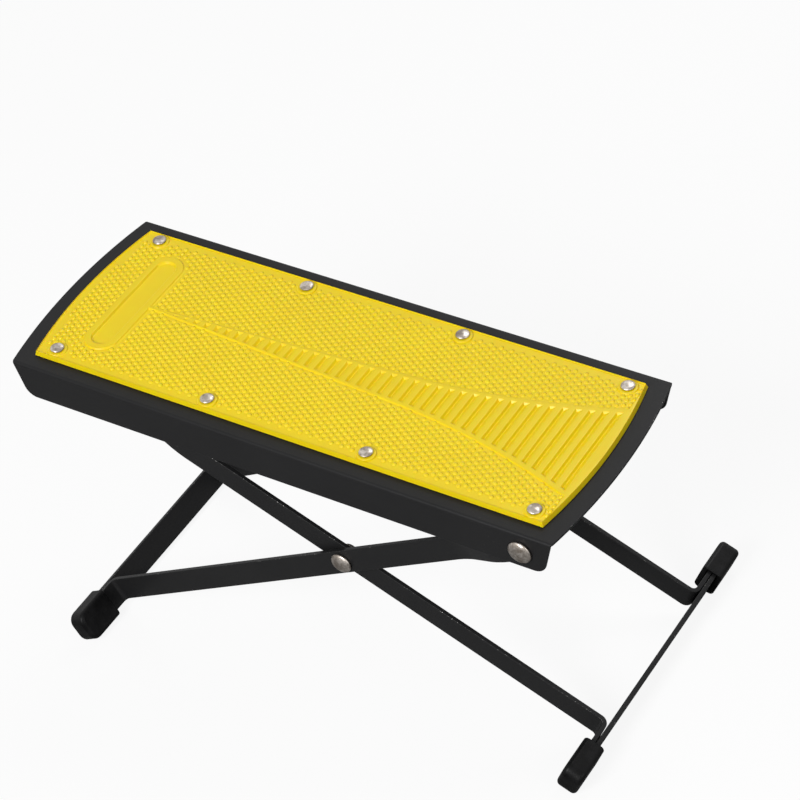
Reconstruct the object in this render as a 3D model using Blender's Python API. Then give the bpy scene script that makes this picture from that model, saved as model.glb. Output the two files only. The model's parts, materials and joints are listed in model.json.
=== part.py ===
"""Folding guitar footrest: a channel-shaped steel platform with a rubber pad, on a scissor stand.

Metres, +Z up. X runs along the platform, from its free end (-X) to its pivot end (+X), and Y runs
across it, from the near side (-Y) to the far side. The origin is on the floor under the middle of
the platform. The stand is two frames of flat bar that cross at two rivets. The outer frame hangs
from the platform's pivot rivets. The inner frame carries a rod that the notched rails under the
platform hook over, and each notch is one height setting.
"""

import math

import bmesh
import bpy
from mathutils import Matrix, Vector

# Clearance between pieces that touch, and how far a cutter passes the faces that it cuts
GAP = 0.0003
OVERRUN = 0.004

# Platform: a channel of sheet steel, open at both ends, with the long flanges down
PLATE_LENGTH = 0.281
PLATE_WIDTH = 0.1045
PLATE_END_BULGE = 0.0052
PLATE_SHEET = 0.0012
FLANGE_DEPTH = 0.0183
FLANGE_BEND_RADIUS = 0.0014
FLANGE_END_TAPER = 0.0048
FLANGE_CORNER_RADIUS = 0.0045

# Rubber pad, with a rim, a blank badge panel and a fluted horn-shaped panel that stand up from
# its field, and columns of dots on it. The badge, the horn's tip and the first column are measured
# from the pad's free end, and the field's straight end and the first flute from its pivot end.
PAD_END_BORDER = 0.00885
PAD_SIDE_BORDER = 0.008
PAD_END_BULGE = 0.0046
PAD_THICKNESS = 0.0025
PAD_RELIEF = 0.0008
PAD_RIM_WIDTH = 0.0024
PAD_FIELD_INSET = 0.00365
BADGE_INSET = 0.02645
BADGE_LENGTH = 0.065
BADGE_WIDTH = 0.0166
BADGE_BORDER = 0.003
HORN_TIP_INSET = 0.03475
HORN_STRAIGHT_HALF_WIDTH = 0.014
HORN_FLARE_HALF_WIDTH = 0.0126
HORN_FLARE_START_SHARE = 0.6
FLUTE_FIRST_INSET = 0.00615
FLUTE_PITCH = 0.00547
FLUTE_WIDTH = 0.0024
FLUTE_END_MARGIN = 0.0014
FLUTE_SHORTEST = 0.0008
PAD_BOSS_RADIUS = 0.0042
DOT_COLUMN_PITCH = 0.00257
DOT_ROW_PITCH = 0.00295
DOT_FIRST_COLUMN_INSET = 0.00415
DOT_RADIUS = 0.00118
DOT_HEIGHT = 0.0007
DOT_TOP_SHARE = 0.55

# Pad rivets: two rows of domed rivets
PAD_RIVETS_PER_ROW = 4
PAD_RIVET_FREE_END_INSET = 0.01285
PAD_RIVET_PIVOT_END_INSET = 0.01045
PAD_RIVET_SIDE_INSET = 0.0047
PAD_RIVET_HEAD_RADIUS = 0.0031
PAD_RIVET_HEAD_HEIGHT = 0.0012
PAD_RIVET_SHANK_RADIUS = 0.0014
PAD_RIVET_TAIL_RADIUS = 0.0024
PAD_RIVET_TAIL_HEIGHT = 0.0005

# Flat bar that both frames are bent from
STRIP_WIDTH = 0.012
STRIP_THICKNESS = 0.002
STRIP_BEND_RADIUS = 0.003
STRIP_EDGE_RADIUS = 0.0003
JOGGLE_LENGTH = 0.034

# Stand, measured along the bars between hole centres, bars and foot bars
PIVOT_TO_SCISSOR = 0.1136
SCISSOR_TO_ROD = 0.1314
SCISSOR_TO_OUTER_FOOT = 0.1596
SCISSOR_TO_INNER_FOOT = 0.1329
OUTER_ARM_HALF_GAUGE = 0.045
SCISSOR_SPACE = 0.0012
ROD_END_JOGGLE = 0.004
OUTER_JOGGLE_START = 0.012
INNER_JOGGLE_START = 0.014

# Where the stand meets the platform
PIVOT_END_INSET = 0.0199
PIVOT_DEPTH = 0.0092
ROD_DEPTH = 0.013
REST_NOTCH_TO_PIVOT = 0.2192

# Notched rails under the platform
RAIL_SHEET = 0.002
RAIL_HALF_GAUGE = 0.026
RAIL_FOOT_WIDTH = 0.012
NOTCH_COUNT = 5
NOTCH_PITCH = 0.009
NOTCHES_BELOW_REST = 1
NOTCH_ROOF_DEPTH = 0.0044
NOTCH_FLARE = 0.0005
RAIL_END_MARGIN = 0.007
ROD_TO_TOOTH = 0.0016

# Height rod, with shouldered ends riveted over the inner arms
ROD_RADIUS = 0.003
ROD_TENON_RADIUS = 0.002
ROD_HEAD_RADIUS = 0.0033
ROD_HEAD_HEIGHT = 0.0013

# Pivot and scissor rivets and their washers
PIVOT_RIVET_HEAD_RADIUS = 0.0054
PIVOT_RIVET_HEAD_HEIGHT = 0.0024
SCISSOR_RIVET_HEAD_RADIUS = 0.005
SCISSOR_RIVET_HEAD_HEIGHT = 0.0022
RIVET_SHANK_RADIUS = 0.0025
RIVET_TAIL_RADIUS = 0.0038
RIVET_TAIL_HEIGHT = 0.0014
WASHER_RADIUS = 0.005
WASHER_THICKNESS = 0.0006

# Rubber feet: sleeves over the bar ends
FOOT_LENGTH = 0.020
FOOT_HEIGHT = 0.0154
FOOT_THICKNESS = 0.0098
TAB_EXPOSED = 0.007
FOOT_END_WALL = 0.0025
FOOT_EDGE_RADIUS = 0.0021
FOOT_END_RADIUS = 0.0048

# Facets, and the angle from which an edge is shaded sharp
SHARP_ANGLE = math.radians(35)
ARC_STEPS = 18
FILLET_STEPS = 5
BEND_STEPS = 6
JOGGLE_STEPS = 8
END_STEPS = 6
DOME_STEPS = 5
SMALL_ROUND_SIDES = 16
ROUND_SIDES = 28
HORN_STEPS = 16
DOT_SIDES = 6

# The solid pad has one dot in so many of a column, in one column in so many
DOT_STRIDE = 4

NEAR, FAR = -1, 1
SIDES = (("near", NEAR), ("far", FAR))

bar_half_width = STRIP_WIDTH / 2
hole_clearance = GAP

# The pad, with places along it from its middle towards the pivot end
pad_length = PLATE_LENGTH - 2 * PAD_END_BORDER
pad_width = PLATE_WIDTH - 2 * PAD_SIDE_BORDER
pad_field_end = pad_length / 2 - PAD_FIELD_INSET
badge_place = BADGE_INSET - pad_length / 2
horn_tip_place = HORN_TIP_INSET - pad_length / 2
flute_first_place = pad_length / 2 - FLUTE_FIRST_INSET

# Across the stand: the centre planes of the bars, as distances from the middle
outer_end_gauge = PLATE_WIDTH / 2 - PLATE_SHEET - GAP - STRIP_THICKNESS / 2
outer_run_gauge = OUTER_ARM_HALF_GAUGE - STRIP_THICKNESS / 2
inner_run_gauge = outer_run_gauge - STRIP_THICKNESS - SCISSOR_SPACE
inner_end_gauge = inner_run_gauge - ROD_END_JOGGLE
foot_mouth = outer_run_gauge + STRIP_BEND_RADIUS + TAB_EXPOSED
tab_reach = foot_mouth + FOOT_LENGTH - FOOT_END_WALL - GAP
foot_pair_offset = (STRIP_THICKNESS + GAP) / 2

# Along the platform, from the middle of its top face: the pivot, the rod and the scissor rivets
pivot_place = PLATE_LENGTH / 2 - PIVOT_END_INSET
rod_drop = ROD_DEPTH - PIVOT_DEPTH
rod_distance = math.hypot(REST_NOTCH_TO_PIVOT, rod_drop)
rod_slope = math.atan2(rod_drop, REST_NOTCH_TO_PIVOT)


def triangle_angle(beside, base, opposite):
    """The angle between sides beside and base of a triangle whose third side is opposite."""
    return math.acos((beside**2 + base**2 - opposite**2) / (2 * beside * base))


outer_slope = rod_slope + triangle_angle(PIVOT_TO_SCISSOR, rod_distance, SCISSOR_TO_ROD)
inner_slope = triangle_angle(SCISSOR_TO_ROD, rod_distance, PIVOT_TO_SCISSOR) - rod_slope
pivot_point = Vector((pivot_place, -PIVOT_DEPTH))
scissor_point = pivot_point - PIVOT_TO_SCISSOR * Vector((math.cos(outer_slope), math.sin(outer_slope)))


def foot_corner(direction, distance):
    """The centre of the lowest rounded edge of a foot on a bar that runs along direction."""
    upward = Vector((-direction.y, direction.x))
    if direction.x < 0:
        upward = -upward
    along = distance + FOOT_THICKNESS / 2 - FOOT_EDGE_RADIUS
    return scissor_point + along * direction - (FOOT_HEIGHT / 2 - FOOT_EDGE_RADIUS) * upward


outer_corner = foot_corner(
    -Vector((math.cos(outer_slope), math.sin(outer_slope))), SCISSOR_TO_OUTER_FOOT
)
inner_corner = foot_corner(
    Vector((math.cos(inner_slope), -math.sin(inner_slope))), SCISSOR_TO_INNER_FOOT
)

# The feet stand on the floor, so the platform slopes by the angle of the line under them
floor_line = inner_corner - outer_corner
platform_slope = math.atan2(floor_line.y, floor_line.x)
level = Matrix.Rotation(-platform_slope, 2)
middle_shift = Vector((PLATE_SHEET * math.sin(platform_slope) / 2, FOOT_EDGE_RADIUS))


def world_place(point):
    """A point of the platform's side view as a world position on the middle plane."""
    turned_point = level @ point
    lowest = (level @ outer_corner).y
    return Vector((turned_point.x + middle_shift.x, 0, turned_point.y - lowest + middle_shift.y))


def clear_scene():
    for item in list(bpy.data.objects):
        bpy.data.objects.remove(item, do_unlink=True)


def painted(name, colour, roughness, metallic):
    """A Principled material."""
    material = bpy.data.materials.new(name)
    material.use_nodes = True
    shader = material.node_tree.nodes["Principled BSDF"]
    shader.inputs["Base Color"].default_value = (*colour, 1)
    shader.inputs["Roughness"].default_value = roughness
    shader.inputs["Metallic"].default_value = metallic
    material.diffuse_color = (*colour, 1)
    return material


def axis_empty(name, place, turn):
    """An empty on a joint's axis, turned about Y so that its X runs along the piece it carries."""
    empty = bpy.data.objects.new(name, None)
    empty.location = place
    empty.rotation_euler = (0, turn, 0)
    bpy.context.scene.collection.objects.link(empty)
    return empty


def object_from(name, bm, parent, offset=(0, 0, 0), material=None):
    """An object made of the bmesh's mesh, placed at offset in its parent's frame."""
    bmesh.ops.remove_doubles(bm, verts=bm.verts, dist=GAP / 100)
    bmesh.ops.recalc_face_normals(bm, faces=bm.faces)
    mesh = bpy.data.meshes.new(name)
    bm.to_mesh(mesh)
    bm.free()
    made = bpy.data.objects.new(name, mesh)
    bpy.context.scene.collection.objects.link(made)
    made.parent = parent
    made.location = offset
    if material:
        mesh.materials.append(material)
        mesh.shade_smooth()
        mesh.set_sharp_from_angle(angle=SHARP_ANGLE)
    return made


def shape_with(target, tool, operation):
    """A Boolean on the target. Its tool is left out of renders."""
    modifier = target.modifiers.new(f"{operation.lower()} {tool.name}", "BOOLEAN")
    modifier.operation = operation
    modifier.object = tool
    tool.hide_render = True
    tool.display_type = "WIRE"


def add_prism(bm, outline, low, high, to_space):
    """A prism between two heights. to_space maps (a, b, height) of the outline to x, y, z."""
    ends = [[bm.verts.new(to_space(a, b, height)) for a, b in outline] for height in (low, high)]
    count = len(outline)
    for i in range(count):
        j = (i + 1) % count
        bm.faces.new((ends[0][i], ends[0][j], ends[1][j], ends[1][i]))
    bm.faces.new(reversed(ends[0]))
    bm.faces.new(ends[1])


def plan(a, b, height):
    """Outline in X and Y, extruded along Z."""
    return (a, b, height)


def side_view(a, b, height):
    """Outline in X and Z, extruded along Y."""
    return (a, height, b)


def end_view(a, b, height):
    """Outline in Y and Z, extruded along X."""
    return (height, a, b)


def prism(outline, low, high, to_space=plan):
    bm = bmesh.new()
    add_prism(bm, outline, low, high, to_space)
    return bm


def rectangle(low_a, high_a, low_b, high_b):
    return [(low_a, low_b), (high_a, low_b), (high_a, high_b), (low_a, high_b)]


def arc(centre, radius, start, end, steps):
    """Points on an arc, with angles in radians."""
    angles = [start + (end - start) * i / steps for i in range(steps + 1)]
    return [(centre[0] + radius * math.cos(a), centre[1] + radius * math.sin(a)) for a in angles]


def bulged_outline(length, width, bulge, inset=0, past_sides=0):
    """A long rectangle with arcs for ends. Inset draws all of it in, past_sides widens it."""
    half_width = width / 2
    radius = (half_width**2 + bulge**2) / (2 * bulge)
    sweep = math.asin((half_width - inset + past_sides) / (radius - inset))
    right = arc((length / 2 - radius, 0), radius - inset, -sweep, sweep, ARC_STEPS)
    return right + [(-x, -y) for x, y in right]


def stadium(place, length, width):
    """A slot shape that lies across the pad."""
    radius = width / 2
    top = arc((place, length / 2 - radius), radius, 0, math.pi, ARC_STEPS // 2)
    bottom = arc((place, radius - length / 2), radius, math.pi, 2 * math.pi, ARC_STEPS // 2)
    return top + bottom


def circle(place, radius, sides):
    return arc(place, radius, 0, 2 * math.pi * (sides - 1) / sides, sides - 1)


def turned(profile, sides, along_y=False):
    """A solid of revolution about Z, or about Y, from (radius, height) points that end on the axis."""
    bm = bmesh.new()
    points = [bm.verts.new((radius, 0, height)) for radius, height in profile]
    edges = [bm.edges.new(pair) for pair in zip(points, points[1:])]
    bmesh.ops.spin(
        bm, geom=points + edges, cent=(0, 0, 0), axis=(0, 0, 1), angle=2 * math.pi, steps=sides
    )
    if along_y:
        bm.transform(Matrix.Rotation(-math.pi / 2, 4, "X"))
    return bm


def dome(radius, base, height):
    """Profile of a domed rivet head, from its crown to its rim, with a short upright edge."""
    edge = height / 4
    rise = height - edge
    angles = [math.pi / 2 * i / DOME_STEPS for i in range(DOME_STEPS + 1)]
    crown = [(radius * math.sin(a), base + edge + rise * math.cos(a)) for a in angles]
    return crown + [(radius, base)]


def rivet_profile(head_radius, head_height, shank_radius, tail_radius, tail_height, grip):
    """A rivet with its head over height 0 and its tail under -grip."""
    under_head = GAP
    over_tail = -grip - GAP
    return dome(head_radius, under_head, head_height) + [
        (shank_radius, under_head),
        (shank_radius, over_tail),
        (tail_radius, over_tail),
        (tail_radius, over_tail - tail_height),
        (0, over_tail - tail_height),
    ]


def washer_mesh(radius, bore, thickness):
    """A washer about Z, from height 0 down."""
    bm = bmesh.new()
    profile = [(radius, 0), (radius, -thickness), (bore, -thickness), (bore, 0), (radius, 0)]
    points = [bm.verts.new((r, 0, z)) for r, z in profile[:-1]]
    edges = [bm.edges.new((points[i], points[(i + 1) % len(points)])) for i in range(len(points))]
    bmesh.ops.spin(
        bm, geom=points + edges, cent=(0, 0, 0), axis=(0, 0, 1), angle=2 * math.pi, steps=ROUND_SIDES
    )
    return bm


def fillet(before, corner, after, radius, steps):
    """Points that round off a corner of an outline."""
    back = (Vector(before) - Vector(corner)).normalized()
    ahead = (Vector(after) - Vector(corner)).normalized()
    half = back.angle(ahead) / 2
    centre = Vector(corner) + (back + ahead).normalized() * radius / math.sin(half)
    start = Vector(corner) + back * radius / math.tan(half) - centre
    turn = start.angle_signed(Vector(corner) + ahead * radius / math.tan(half) - centre)
    return [tuple(centre + Matrix.Rotation(-turn * i / steps, 2) @ start) for i in range(steps + 1)]


def channel_section():
    """The platform's cross-section in Y and Z, with flanges longer than they end up."""
    half = PLATE_WIDTH / 2
    bend = FLANGE_BEND_RADIUS
    bottom = -FLANGE_DEPTH - OVERRUN
    outer = [(half, bottom)] + arc((half - bend, -bend), bend, 0, math.pi / 2, FILLET_STEPS)
    inner_radius = bend - PLATE_SHEET
    inner = arc((half - bend, -bend), inner_radius, math.pi / 2, 0, FILLET_STEPS)
    inner += [(half - PLATE_SHEET, bottom)]
    mirrored_outer = [(-y, z) for y, z in reversed(outer)]
    mirrored_inner = [(-y, z) for y, z in reversed(inner)]
    return outer + mirrored_outer + mirrored_inner + inner


def flange_outline():
    """The platform's side view, which trims the flanges to their depth and shapes their ends."""
    corner = PLATE_LENGTH / 2 - PLATE_END_BULGE
    top_right = (corner, -FLANGE_BEND_RADIUS)
    low_right = (corner - FLANGE_END_TAPER, -FLANGE_DEPTH)
    low_left = (-low_right[0], low_right[1])
    past_end = PLATE_LENGTH / 2 + OVERRUN
    right = [(past_end, OVERRUN), (past_end, -FLANGE_BEND_RADIUS), top_right]
    right += fillet(top_right, low_right, low_left, FLANGE_CORNER_RADIUS, FILLET_STEPS)
    return right + [(-x, z) for x, z in reversed(right)]


def pad_rivet_places():
    """Positions of the pad rivets, near row first, each row from the free end."""
    first = PAD_RIVET_FREE_END_INSET - pad_length / 2
    last = pad_length / 2 - PAD_RIVET_PIVOT_END_INSET
    spacing = (last - first) / (PAD_RIVETS_PER_ROW - 1)
    row = [first + spacing * i for i in range(PAD_RIVETS_PER_ROW)]
    row_gauge = pad_width / 2 - PAD_RIVET_SIDE_INSET
    return [(x, side * row_gauge) for _, side in SIDES for x in row]


def make_top_plate(parent, offset, steel):
    half_length = PLATE_LENGTH / 2 + OVERRUN
    plate = object_from(
        "top_plate", prism(channel_section(), -half_length, half_length, end_view), parent, offset, steel
    )
    ends = bulged_outline(PLATE_LENGTH, PLATE_WIDTH, PLATE_END_BULGE, past_sides=OVERRUN)
    below = -FLANGE_DEPTH - 2 * OVERRUN
    trim = object_from("cutter_plate_ends", prism(ends, below, OVERRUN), parent, offset)
    shape_with(plate, trim, "INTERSECT")
    half_width = PLATE_WIDTH / 2 + OVERRUN
    flanges = prism(flange_outline(), -half_width, half_width, side_view)
    shape_with(plate, object_from("cutter_flange_ends", flanges, parent, offset), "INTERSECT")
    holes = bmesh.new()
    for place in pad_rivet_places():
        bore = PAD_RIVET_SHANK_RADIUS + hole_clearance
        add_prism(holes, circle(place, bore, SMALL_ROUND_SIDES), -PLATE_SHEET - OVERRUN, OVERRUN, plan)
    pivot_bore = circle(pivot_point, RIVET_SHANK_RADIUS + hole_clearance, ROUND_SIDES)
    add_prism(holes, pivot_bore, -half_width, half_width, side_view)
    shape_with(plate, object_from("cutter_plate_holes", holes, parent, offset), "DIFFERENCE")


def horn_half_width(place):
    """Half the horn panel's width: straight from its tip, with a flare towards the pivot end."""
    share = (place - horn_tip_place) / (flute_first_place - horn_tip_place)
    flare_share = max(0, (share - HORN_FLARE_START_SHARE) / (1 - HORN_FLARE_START_SHARE))
    return HORN_STRAIGHT_HALF_WIDTH * share + HORN_FLARE_HALF_WIDTH * flare_share**2


def horn_outline():
    """The horn panel, from its tip to inside the pad's rim at the pivot end."""
    end = pad_length / 2 - PAD_RIM_WIDTH / 2
    places = [horn_tip_place + (end - horn_tip_place) * i / HORN_STEPS for i in range(HORN_STEPS + 1)]
    lower = [(x, -horn_half_width(x)) for x in places]
    return lower + [(x, -y) for x, y in reversed(lower[1:])]


def flute_places():
    """The middles of the flutes, from the pivot end, as far as the horn is wide enough."""
    places = []
    place = flute_first_place
    while horn_half_width(place - FLUTE_WIDTH) - FLUTE_END_MARGIN > FLUTE_SHORTEST:
        places.append(place)
        place -= FLUTE_PITCH
    return places


def dot_fits(x, y):
    """Whether a dot stands on the pad's field, clear of all that stands up from it."""
    reach = DOT_RADIUS + GAP
    half_width = pad_width / 2
    arc_radius = (half_width**2 + PAD_END_BULGE**2) / (2 * PAD_END_BULGE)
    from_arc_centre = math.hypot(x - arc_radius + pad_length / 2, y)
    badge_half_run = (BADGE_LENGTH - BADGE_WIDTH) / 2
    from_badge = math.hypot(x - badge_place, max(0, abs(y) - badge_half_run))
    from_boss = min(math.hypot(x - a, y - b) for a, b in pad_rivet_places())
    return (
        abs(y) + reach < half_width - PAD_RIM_WIDTH
        and from_arc_centre + reach < arc_radius - PAD_RIM_WIDTH
        and x + reach < pad_field_end
        and from_badge - reach > BADGE_WIDTH / 2
        and from_boss - reach > PAD_BOSS_RADIUS
        and (x + reach < horn_tip_place or abs(y) - reach > max(0, horn_half_width(x)))
    )


def dot_places():
    """Positions of the dots that the solid has, staggered from one of its columns to the next."""
    columns = int(pad_length / DOT_COLUMN_PITCH)
    last_row = DOT_STRIDE * int(pad_width / DOT_ROW_PITCH / DOT_STRIDE)
    places = []
    for number, column in enumerate(range(0, columns, DOT_STRIDE)):
        x = DOT_FIRST_COLUMN_INSET - pad_length / 2 + column * DOT_COLUMN_PITCH
        stagger = DOT_STRIDE // 2 * (number % 2)
        for row in range(stagger - last_row, last_row + 1, DOT_STRIDE):
            y = row * DOT_ROW_PITCH
            if dot_fits(x, y):
                places.append((x, y))
    return places


def make_rubber_pad(parent, offset, rubber):
    top = GAP + PAD_THICKNESS
    field = top - PAD_RELIEF
    body = prism(bulged_outline(pad_length, pad_width, PAD_END_BULGE), GAP, top)
    pad = object_from("rubber_pad", body, parent, offset, rubber)
    inside = bulged_outline(pad_length, pad_width, PAD_END_BULGE, inset=PAD_RIM_WIDTH)
    inside = [(min(x, pad_field_end), y) for x, y in inside]
    recess = object_from("cutter_pad_field", prism(inside, field, top + OVERRUN), parent, offset)
    low, high = field - OVERRUN, top + 2 * OVERRUN
    raised = bmesh.new()
    add_prism(raised, stadium(badge_place, BADGE_LENGTH, BADGE_WIDTH), low, high, plan)
    for place in pad_rivet_places():
        add_prism(raised, circle(place, PAD_BOSS_RADIUS, SMALL_ROUND_SIDES), low, high, plan)
    shape_with(recess, object_from("cutter_pad_raised", raised, parent, offset), "DIFFERENCE")
    horn = object_from("cutter_pad_horn", prism(horn_outline(), low, high), parent, offset)
    shape_with(recess, horn, "DIFFERENCE")
    shape_with(pad, recess, "DIFFERENCE")
    hollows = bmesh.new()
    blank = stadium(badge_place, BADGE_LENGTH - 2 * BADGE_BORDER, BADGE_WIDTH - 2 * BADGE_BORDER)
    add_prism(hollows, blank, field, top + OVERRUN, plan)
    for place in flute_places():
        half = horn_half_width(place - FLUTE_WIDTH) - FLUTE_END_MARGIN
        flute = rectangle(place - FLUTE_WIDTH / 2, place + FLUTE_WIDTH / 2, -half, half)
        add_prism(hollows, flute, field, top + OVERRUN, plan)
    for place in pad_rivet_places():
        bore = PAD_RIVET_SHANK_RADIUS + hole_clearance
        add_prism(hollows, circle(place, bore, SMALL_ROUND_SIDES), -OVERRUN, top + OVERRUN, plan)
    shape_with(pad, object_from("cutter_pad_hollows", hollows, parent, offset), "DIFFERENCE")
    dots = bmesh.new()
    for x, y in dot_places():
        bmesh.ops.create_cone(
            dots,
            cap_ends=True,
            segments=DOT_SIDES,
            radius1=DOT_RADIUS * (2 - DOT_TOP_SHARE),
            radius2=DOT_RADIUS * DOT_TOP_SHARE,
            depth=2 * DOT_HEIGHT,
            matrix=Matrix.Translation((x, y, field)),
        )
    shape_with(pad, object_from("tool_pad_dots", dots, parent, offset), "UNION")


def make_pad_rivets(parent, offset, nickel):
    grip = GAP + PAD_THICKNESS + PLATE_SHEET
    profile = rivet_profile(
        PAD_RIVET_HEAD_RADIUS,
        PAD_RIVET_HEAD_HEIGHT,
        PAD_RIVET_SHANK_RADIUS,
        PAD_RIVET_TAIL_RADIUS,
        PAD_RIVET_TAIL_HEIGHT,
        grip,
    )
    for number, (x, y) in enumerate(pad_rivet_places(), 1):
        place = Vector(offset) + Vector((x, y, GAP + PAD_THICKNESS))
        object_from(f"pad_rivet_{number}", turned(profile, SMALL_ROUND_SIDES), parent, place, nickel)


def notch_places():
    """The notch centres along the platform, lowest setting first."""
    rest = pivot_place - REST_NOTCH_TO_PIVOT
    return [rest + NOTCH_PITCH * (i - NOTCHES_BELOW_REST) for i in range(NOTCH_COUNT)]


def rail_outline():
    """A rail's web in side view, with round-roofed notches that open downwards."""
    top = -PLATE_SHEET - GAP
    bottom = -ROD_DEPTH + ROD_RADIUS + ROD_TO_TOOTH
    radius = ROD_RADIUS + GAP
    roof = -NOTCH_ROOF_DEPTH - radius
    places = notch_places()
    points = [(places[0] - RAIL_END_MARGIN, top), (places[0] - RAIL_END_MARGIN, bottom)]
    for place in places:
        points.append((place - radius - NOTCH_FLARE, bottom))
        points += arc((place, roof), radius, math.pi, 0, 2 * FILLET_STEPS)
        points.append((place + radius + NOTCH_FLARE, bottom))
    points.append((places[-1] + RAIL_END_MARGIN, bottom))
    points.append((places[-1] + RAIL_END_MARGIN, top))
    return points


def make_rails(parent, offset, steel):
    top = -PLATE_SHEET - GAP
    places = notch_places()
    start, end = places[0] - RAIL_END_MARGIN, places[-1] + RAIL_END_MARGIN
    for name, side in SIDES:
        web_outer = side * RAIL_HALF_GAUGE
        web_inner = side * (RAIL_HALF_GAUGE - RAIL_SHEET)
        low, high = sorted((web_outer, web_inner))
        rail = object_from(
            f"notched_rail_{name}", prism(rail_outline(), low, high, side_view), parent, offset, steel
        )
        low, high = sorted((web_outer, side * (RAIL_HALF_GAUGE - RAIL_FOOT_WIDTH)))
        flange = prism(rectangle(start, end, low, high), top - RAIL_SHEET, top)
        shape_with(rail, object_from(f"tool_rail_foot_{name}", flange, parent, offset), "UNION")


def round_end_stations():
    """(distance past the hole, half width) of a bar's round end, from its tip inwards."""
    angles = [math.pi / 2 * i / END_STEPS for i in range(END_STEPS)]
    stations = [(bar_half_width * math.cos(a), bar_half_width * math.sin(a)) for a in angles]
    tip_share = 1 / 8
    stations[0] = (bar_half_width, bar_half_width * tip_share)
    return stations + [(0, bar_half_width)]


def bar_path(hole, run_gauge, end_gauge, joggle_start, tab):
    """Stations (x, y, half width) of a frame's bar on the far side.

    It starts at its round end beyond the hole, steps over to its main run by a joggle, and bends
    outwards at the foot into a tab whose middle plane is at x = tab.
    """
    inwards = -1 if hole > tab else 1
    stations = [(hole - inwards * past, end_gauge, half) for past, half in round_end_stations()]
    for i in range(JOGGLE_STEPS + 1):
        share = i / JOGGLE_STEPS
        smooth_share = share * share * (3 - 2 * share)
        x = hole + inwards * (joggle_start + JOGGLE_LENGTH * share)
        stations.append((x, end_gauge + (run_gauge - end_gauge) * smooth_share, bar_half_width))
    centre = (tab - inwards * STRIP_BEND_RADIUS, run_gauge + STRIP_BEND_RADIUS)
    for i in range(BEND_STEPS + 1):
        angle = math.pi / 2 * i / BEND_STEPS
        x = centre[0] + inwards * STRIP_BEND_RADIUS * math.sin(angle)
        stations.append((x, centre[1] - STRIP_BEND_RADIUS * math.cos(angle), bar_half_width))
    return stations + [(tab, tab_reach, bar_half_width)]


def bar_mesh(stations, side):
    """A flat bar of even thickness along its stations, on the near or far side."""
    bm = bmesh.new()
    points = [Vector((x, side * y)) for x, y, _ in stations]
    rings = []
    for i, (_, _, half) in enumerate(stations):
        before = points[max(i - 1, 0)]
        after = points[min(i + 1, len(points) - 1)]
        back = (points[i] - before).normalized() if i else (after - points[i]).normalized()
        ahead = (after - points[i]).normalized() if i + 1 < len(points) else back
        heading = (back + ahead).normalized()
        reach = STRIP_THICKNESS / 2 / heading.dot(ahead)
        across = Vector((-heading.y, heading.x)) * reach
        corners = [(across, half), (across, -half), (-across, -half), (-across, half)]
        rings.append([bm.verts.new((*(points[i] + shift), z)) for shift, z in corners])
    for ring, following in zip(rings, rings[1:]):
        for i in range(len(ring)):
            j = (i + 1) % len(ring)
            bm.faces.new((ring[i], ring[j], following[j], following[i]))
    bm.faces.new(rings[0])
    bm.faces.new(rings[-1])
    return bm


def make_arms(kind, parent, path, holes, steel):
    """Both bars of a frame, drilled at the given (x, radius) holes."""
    for name, side in SIDES:
        arm = object_from(f"{kind}_arm_{name}", bar_mesh(path, side), parent, material=steel)
        drill = bmesh.new()
        for x, radius in holes:
            low, high = sorted((side * OVERRUN, side * (PLATE_WIDTH / 2 + OVERRUN)))
            bore = circle((x, 0), radius + hole_clearance, ROUND_SIDES)
            add_prism(drill, bore, low, high, side_view)
        shape_with(arm, object_from(f"cutter_{kind}_holes_{name}", drill, parent), "DIFFERENCE")


def foot_block(mouth):
    """A foot about the origin: sharp round its mouth, well rounded at its outer end, soft elsewhere."""
    bm = bmesh.new()
    size = (FOOT_THICKNESS, FOOT_LENGTH, FOOT_HEIGHT, 1)
    bmesh.ops.create_cube(bm, size=1, matrix=Matrix.Diagonal(size))
    at_end = [e for e in bm.edges if all(v.co.y * mouth < 0 for v in e.verts)]
    across = [e for e in at_end if abs(e.verts[0].co.z - e.verts[1].co.z) < GAP]
    bmesh.ops.bevel(
        bm, geom=across, offset=FOOT_END_RADIUS, segments=FILLET_STEPS - 1, profile=0.5, affect="EDGES"
    )
    beyond_mouth = [e for e in bm.edges if any(abs(v.co.y - mouth) > GAP for v in e.verts)]
    soft = [e for e in beyond_mouth if e.calc_face_angle() > SHARP_ANGLE]
    bmesh.ops.bevel(
        bm, geom=soft, offset=FOOT_EDGE_RADIUS, segments=FILLET_STEPS - 1, profile=0.5, affect="EDGES"
    )
    return bm


def make_foot_bar(kind, parent, place, steel):
    """The flat bar that ties a frame's two feet."""
    size = (STRIP_THICKNESS, 2 * tab_reach, STRIP_WIDTH)
    bm = bmesh.new()
    bmesh.ops.create_cube(bm, size=1, matrix=Matrix.Diagonal((*size, 1)))
    bmesh.ops.bevel(bm, geom=bm.edges[:], offset=STRIP_EDGE_RADIUS, segments=1, affect="EDGES")
    object_from(f"{kind}_foot_bar", bm, parent, (place, 0, 0), steel)


def make_feet(kind, parent, place, rubber):
    """Rubber sleeves over the ends of a frame's foot bar and tabs."""
    slot_thickness = 2 * STRIP_THICKNESS + 3 * GAP
    slot_width = STRIP_WIDTH + 2 * GAP
    for name, side in SIDES:
        rounded = foot_block(-side * FOOT_LENGTH / 2)
        centre = (place, side * (foot_mouth + FOOT_LENGTH / 2), 0)
        foot = object_from(f"{kind}_foot_{name}", rounded, parent, centre, rubber)
        low, high = sorted((side * (foot_mouth - OVERRUN), side * (tab_reach + GAP)))
        slot = prism(
            rectangle(-slot_thickness / 2, slot_thickness / 2, low, high), -slot_width / 2, slot_width / 2
        )
        cutter = object_from(f"cutter_{kind}_foot_{name}", slot, parent, (place, 0, 0))
        shape_with(foot, cutter, "DIFFERENCE")


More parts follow.
